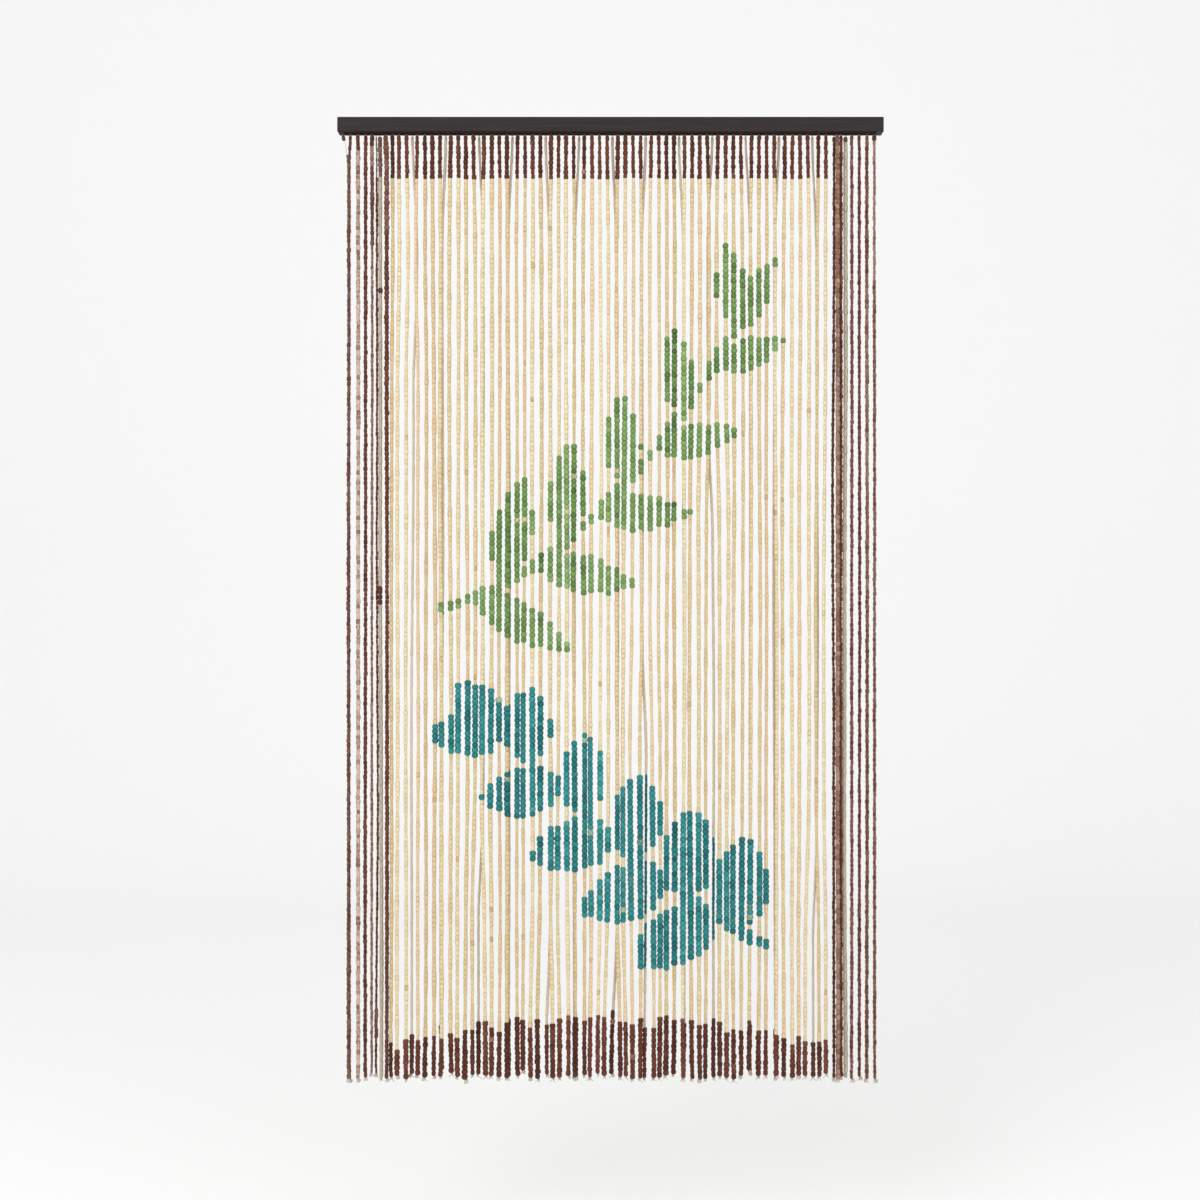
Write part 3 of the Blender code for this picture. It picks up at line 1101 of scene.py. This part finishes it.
def spotsOf(chosen):
    # What placing and staining each bead takes, as arrays
    names = ("radius", "half", "turn", "slopeX", "slopeY", "tone", "wear", "shift", "blush")
    spots = {name: np.empty(len(chosen)) for name in names}
    spots["centre"] = np.empty((len(chosen), 3))
    for row, bead in enumerate(chosen):
        draw = drawsFor("bead", bead.strand.number * beads["mostOnStrand"] + bead.order)
        strandDraw = drawsFor("tone", bead.strand.number)
        middle, strandsDiffer, beadsDiffer, wornShare = tones[kindOf(bead)]
        above = spotOn(bead.strand, bead.fall - bead.half)
        below = spotOn(bead.strand, bead.fall + bead.half)
        spots["centre"][row] = spotOn(bead.strand, bead.fall)
        spots["centre"][row, 0] += draw.uniform(-1, 1) * beads["offCentre"][bead.stain]
        spots["radius"][row] = bead.radius
        spots["half"][row] = bead.half
        spots["turn"][row] = draw.uniform(0, math.pi)
        spots["slopeX"][row] = (above[0] - below[0]) / (2 * bead.half) + draw.uniform(-1, 1) * beads["tilt"]
        spots["slopeY"][row] = (above[1] - below[1]) / (2 * bead.half) + draw.uniform(-1, 1) * beads["tilt"]
        look = edgeLook(bead.strand, bead.fall)
        strandTone = look["tone"]
        if strandTone is None:
            strandTone = middle + strandsDiffer * strandDraw.uniform(-1, 1)
        # Painted shade: the motif beads on the back strands take the darkest tone, as if shaded by the front
        # row
        if isAtBack(bead.strand) and bead.stain in ("green", "teal"):
            strandTone = beads["shadedBehindTone"]
        spots["tone"][row] = min(max(strandTone + beadsDiffer * draw.uniform(-1, 1), 0.0), 1.0)
        wear = draw.uniform(*beads["worn" if draw.random() < wornShare else "sound"])
        if look["wear"] is not None:
            wear = look["wear"] + look["uneven"] * draw.uniform(-1, 1)
        spots["wear"][row] = wear
        spots["shift"][row] = draw.uniform(0, beads["grainShift"])
        blush = blushes.get(kindOf(bead), blushOfOthers)
        spots["blush"][row] = max(strandDraw.uniform(*blush), 0.0)
    return spots


def dress(piece, finish, nodes):
    piece.data.materials.clear()
    piece.data.materials.append(finish)
    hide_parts(*nodes)
    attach(piece, "root")


def beadPiece(name, chosen, finish, nodes):
    batches = []
    for cut, pattern in patterns.items():
        batches.append((pattern, spotsOf([bead for bead in chosen if cutOf(bead) == cut])))
    dress(joined(name, batches), finishes[finish], nodes)


def pick(stain, test=lambda bead: True):
    return [bead for bead in allBeads if bead.stain == stain and test(bead)]


# The cream strands are in three pieces, by the numbers of their first and last strands
firstField = hanging["edgeStrands"]
thirds = {"left": (firstField, 23), "middle": (24, 41), "right": (42, lastFront - firstField)}
for side, (first, last) in thirds.items():
    chosen = pick("cream", lambda bead: first <= bead.strand.number <= last)
    beadPiece(f"cream_beads_{side}", chosen, "cream", ["field_strands"])


beadPiece("top_band_beads", pick("brown", lambda bead: inField(bead) and bead.fall < hanging["halfWay"]),
          "brown", ["field_strands"])
beadPiece("bottom_band_beads", pick("brown", lambda bead: inField(bead) and bead.fall > hanging["halfWay"]),
          "brown", ["field_strands", "back_strands"])
beadPiece("edge_beads_left", pick("brown", lambda bead: not inField(bead) and bead.strand.place < 0),
          "worn brown", ["edge_strands_left", "back_strands"])
beadPiece("edge_beads_right", pick("brown", lambda bead: not inField(bead) and bead.strand.place > 0),
          "worn brown", ["edge_strands_right", "back_strands"])
beadPiece("green_beads", pick("green"), "green", ["field_strands", "back_strands"])
beadPiece("teal_beads", pick("teal"), "teal", ["field_strands", "back_strands"])
beadPiece("slim_beads", pick("beige"), "beige", ["back_strands"])
print("beads strung")

# Thread, knots and tails

thread = {
    "radius": 0.0007,
    "startsAt": 0.0030,
    "step": 0.06,
    "tails": (0.006, 0.012),
    "tailsApart": (1.6, 3.6),
    "tailOut": 0.7,
    "tailBend": 0.8,
    "tailLift": 0.45,
    "tailForward": 0.4,
    "knotRadius": 0.0030,
    "knotVary": (0.85, 1.1),
    "knotLumps": 0.16,
    "knotBelow": 0.9,           # from the last bead to the knot's middle, in radii
    "knotShift": 0.0024,
    "bigKnot": 1.45,            # on the edge strands and a third of the others
    "bigShare": 0.33,
}
strandNodes = ["edge_strands_left", "field_strands", "edge_strands_right", "back_strands"]


def addThreads():
    lines = bpy.data.curves.new("threads", "CURVE")
    lines.dimensions = "3D"
    lines.bevel_depth = thread["radius"]
    lines.bevel_resolution = 0
    lines.use_fill_caps = True
    for strand in allStrands:
        draw = drawsFor("tails", strand.number)
        length = strandLength(strand)
        falls = list(np.arange(thread["startsAt"], length, thread["step"]))
        falls.append(length + thread["knotRadius"])
        run = [spotOn(strand, fall) for fall in falls]
        drawLine(lines, run)
        # Two loose ends curl away below the knot
        end = Vector(run[-1])
        aim = draw.uniform(0, 2 * math.pi)
        for turn in (0.0, draw.uniform(*thread["tailsApart"])):
            reach = draw.uniform(*thread["tails"])
            forward = thread["tailForward"] * math.sin(aim + turn)
            sideways = Vector((math.cos(aim + turn), forward, 0)) * reach * thread["tailOut"]
            tail = []
            for way in (0.0, 0.25, 0.5, 0.75, 1.0):
                down = Vector((0, 0, reach * (way - thread["tailLift"] * way**2)))
                tail.append(end + sideways * way ** thread["tailBend"] - down)
            drawLine(lines, tail)
    curve = bpy.data.objects.new("threads_drawn", lines)
    scene.collection.objects.link(curve)
    bpy.context.view_layer.update()
    mesh = bpy.data.meshes.new_from_object(curve.evaluated_get(bpy.context.evaluated_depsgraph_get()))
    bpy.data.objects.remove(curve)
    mesh.name = "threads"
    piece = bpy.data.objects.new("threads", mesh)
    scene.collection.objects.link(piece)
    dress(piece, threadLook, strandNodes)


def drawLine(lines, run):
    spline = lines.splines.new("POLY")
    spline.points.add(len(run) - 1)
    for point, spot in zip(spline.points, run, strict=True):
        point.co = (*spot, 1)


smallMap = {"reach": 0.4, "shiftStep": 0.37}


def copiesOf(shape, name, centres, sizes, turns):
    # Small fittings placed like the beads, each with the same height and width
    layer = shape.loops.layers.uv.new(uvName)
    for face in shape.faces:
        for loop in face.loops:
            loop[layer].uv = Vector((0.5, 0.5)) + loop.vert.co.xz * smallMap["reach"]
    count = len(centres)
    spots = {mark: np.zeros(count) for mark in ("slopeX", "slopeY", "tone", "wear", "blush")}
    spots.update(centre=np.array(centres), turn=np.array(turns), radius=np.array(sizes), half=np.array(sizes))
    spots["shift"] = np.arange(count) * smallMap["shiftStep"]
    return joined(name, [(flattened(shape), spots)])


def addKnots():
    knot = bmesh.new()
    bmesh.ops.create_icosphere(knot, subdivisions=2, radius=1.0)
    for vertex in knot.verts:
        lump = math.sin(5 * vertex.co.x + 3 * vertex.co.z) * math.cos(4 * vertex.co.y)
        vertex.co *= 1.0 + thread["knotLumps"] * lump
    for face in knot.faces:
        face.smooth = True
    centres, sizes, turns = [], [], []
    for strand in allStrands:
        draw = drawsFor("knot", strand.number)
        isBig = isAtEdge(strand) or draw.random() < thread["bigShare"]
        scale = thread["bigKnot"] if isBig else 1.0
        size = thread["knotRadius"] * draw.uniform(*thread["knotVary"]) * scale
        x, y, z = spotOn(strand, strandLength(strand) + size * thread["knotBelow"])
        centres.append((x + draw.uniform(-1, 1) * thread["knotShift"] * scale, y, z))
        sizes.append(size)
        turns.append(draw.uniform(0, math.pi))
    dress(copiesOf(knot, "knots", centres, sizes, turns), knotLook, strandNodes)


addThreads()
addKnots()
print("threads tied")

# Screw eyes and the strips they are screwed into

fittings = {
    "eyeRadius": 0.0016,
    "eyeSteps": 10,
    "wireRadius": 0.00055,
    "wireSides": 5,
    "eyeDrop": 0.0020,
    "eyeTurn": 0.5,             # how far an eye may be screwed past square
    "shankUp": 0.0012,
    "stripTop": -0.0098,
    "frontDepth": 0.0090,
    "backDepth": 0.0046,
    "stripEdge": 0.0004,
    "seamGap": 0.0003,
    "endInset": 0.0053,
}


def addEyes():
    eye = bmesh.new()
    wire = fittings["wireRadius"]
    ring = bmesh.ops.create_circle(eye, segments=fittings["wireSides"], radius=wire)["verts"]
    bmesh.ops.translate(eye, verts=ring, vec=(fittings["eyeRadius"], 0, 0))
    bmesh.ops.spin(
        eye, geom=eye.verts[:] + eye.edges[:], cent=(0, 0, 0), axis=(0, 1, 0),
        angle=2 * math.pi, steps=fittings["eyeSteps"], use_merge=True,
    )
    shank = bmesh.ops.create_cone(
        eye, cap_ends=True, segments=fittings["wireSides"], radius1=wire, radius2=wire,
        depth=fittings["shankUp"] + fittings["eyeDrop"] - fittings["eyeRadius"],
    )["verts"]
    shankMiddle = (fittings["eyeRadius"] + fittings["eyeDrop"] + fittings["shankUp"]) / 2
    bmesh.ops.translate(eye, verts=shank, vec=(0, 0, shankMiddle))
    bmesh.ops.recalc_face_normals(eye, faces=eye.faces)
    for face in eye.faces:
        face.smooth = True
    centres, turns = [], []
    for strand in allStrands:
        draw = drawsFor("eye", strand.number)
        x, y, _ = spotOn(strand, 0.0)
        centres.append((x, y, hanging["underside"] - fittings["eyeDrop"]))
        turns.append(draw.uniform(-fittings["eyeTurn"], fittings["eyeTurn"]))
    # The pattern is in millimetres, so that its map fills its cell
    bmesh.ops.scale(eye, verts=eye.verts, vec=(1000, 1000, 1000))
    # The merge can leave points and faces in another order in each run, so both are sorted along a slant
    slant = Vector((0.31, 1.7, 5.3))
    eye.verts.sort(key=lambda vertex: vertex.co.dot(slant))
    eye.faces.sort(key=lambda face: face.calc_center_median().dot(slant))
    piece = copiesOf(eye, "screw_eyes", centres, [0.001] * len(centres), turns)
    dress(piece, metalFinish, strandNodes)


def addStrips():
    strips = bmesh.new()
    front = rows["front"]
    end = hanging["railLength"] / 2 - fittings["endInset"]
    edge = hanging["edgeStrands"]
    leftSeam = (front[edge - 1].place + front[edge].place) / 2
    rightSeam = (front[-edge - 1].place + front[-edge].place) / 2
    half = fittings["seamGap"] / 2
    spans = [(-end, leftSeam - half), (leftSeam + half, rightSeam - half), (rightSeam + half, end)]
    boxes = [(low, high, hanging["frontRow"], fittings["frontDepth"]) for low, high in spans]
    boxes.append((-end, end, hanging["backRow"], fittings["backDepth"]))
    for low, high, y, depth in boxes:
        corners = bmesh.ops.create_cube(strips, size=1.0)["verts"]
        tall = fittings["stripTop"] - hanging["underside"]
        bmesh.ops.scale(strips, verts=corners, vec=(high - low, depth, tall))
        middle = ((low + high) / 2, y, hanging["underside"] + tall / 2)
        bmesh.ops.translate(strips, verts=corners, vec=middle)
    bmesh.ops.bevel(
        strips, geom=strips.edges[:], offset=fittings["stripEdge"], offset_type="OFFSET", segments=2,
        profile=0.5, affect="EDGES", material=-1,
    )
    bmesh.ops.recalc_face_normals(strips, faces=strips.faces)
    piece = finishMesh("threading_strips", strips, smooth=True)
    dress(piece, railFinish, strandNodes)


addEyes()
addStrips()
print("fittings added")

# The rail keeps its solid and takes the dark paint

rail = frame["nodes"]["rail"]
for slot in rail.material_slots:
    slot.material = railFinish

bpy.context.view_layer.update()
triangles = sum(len(polygon.vertices) - 2 for thing in bpy.data.objects
                if thing.type == "MESH" and not thing.hide_render for polygon in thing.data.polygons)
print(f"{triangles} triangles in all")
